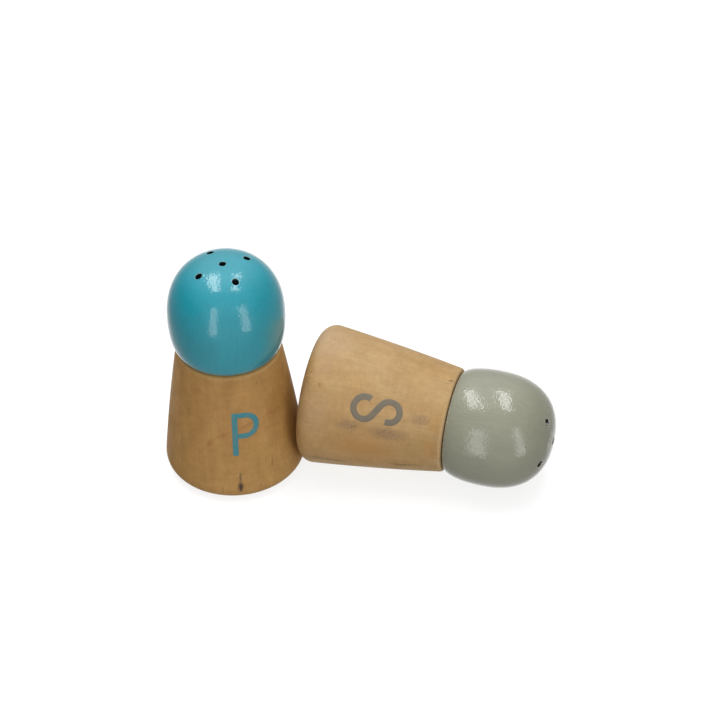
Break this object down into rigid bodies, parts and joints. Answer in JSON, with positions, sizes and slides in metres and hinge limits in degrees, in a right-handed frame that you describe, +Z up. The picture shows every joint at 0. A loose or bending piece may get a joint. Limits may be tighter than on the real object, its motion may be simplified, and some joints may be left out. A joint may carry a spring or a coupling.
{
  "type": "salt and pepper shakers",
  "caption": "Two turned wooden shakers with lacquered pull-off heads and pouring holes: pepper stands upright, salt lies against its foot.",
  "frame": {"origin": "centre of the standing pepper shaker's foot, on the table", "axes": "+Z up the standing shaker; +X level, along the lying salt shaker from its foot to its head; +Y level, to the side of both"},
  "size_m": [0.1371, 0.0614, 0.0871],
  "materials": {
    "pepper_wood": "satin",
    "salt_wood": "satin",
    "teal_lacquer": "gloss",
    "sage_lacquer": "gloss",
    "sleeve_plastic": "satin",
    "ring_silicone": "matte"
  },
  "bodies": {
    "pepper_base": {"pepper_body": "pepper_wood"},
    "pepper_rings": {"pepper_o_ring_upper": "ring_silicone", "pepper_o_ring_lower": "ring_silicone"},
    "pepper_top": {"pepper_head": "teal_lacquer", "pepper_stopper_sleeve": "sleeve_plastic"},
    "salt_base": {"salt_body": "salt_wood"},
    "salt_rings": {"salt_o_ring_upper": "ring_silicone", "salt_o_ring_lower": "ring_silicone"},
    "salt_top": {"salt_head": "sage_lacquer", "salt_stopper_sleeve": "sleeve_plastic"}
  },
  "joints": [
    {"name": "pepper_head_pull", "type": "slide", "parent": "pepper_base", "child": "pepper_rings", "axis": [0, 0, 1], "range_m": [0, 0.025]},
    {"name": "pepper_head_twist", "type": "hinge", "parent": "pepper_rings", "child": "pepper_top", "pos_m": [0, 0, 0], "axis": [0, 0, 1], "continuous": true},
    {"name": "salt_lift", "type": "slide", "parent": "pepper_base", "child": "salt_base", "axis": [0, 0, 1], "range_m": [0, 0.1]},
    {"name": "salt_head_pull", "type": "slide", "parent": "salt_base", "child": "salt_rings", "axis": [0.9979, 0, -0.065], "range_m": [0, 0.025]},
    {"name": "salt_head_twist", "type": "hinge", "parent": "salt_rings", "child": "salt_top", "pos_m": [0.0255, 0.0124, 0.02476], "axis": [0.9979, 0, -0.065], "continuous": true}
  ]
}
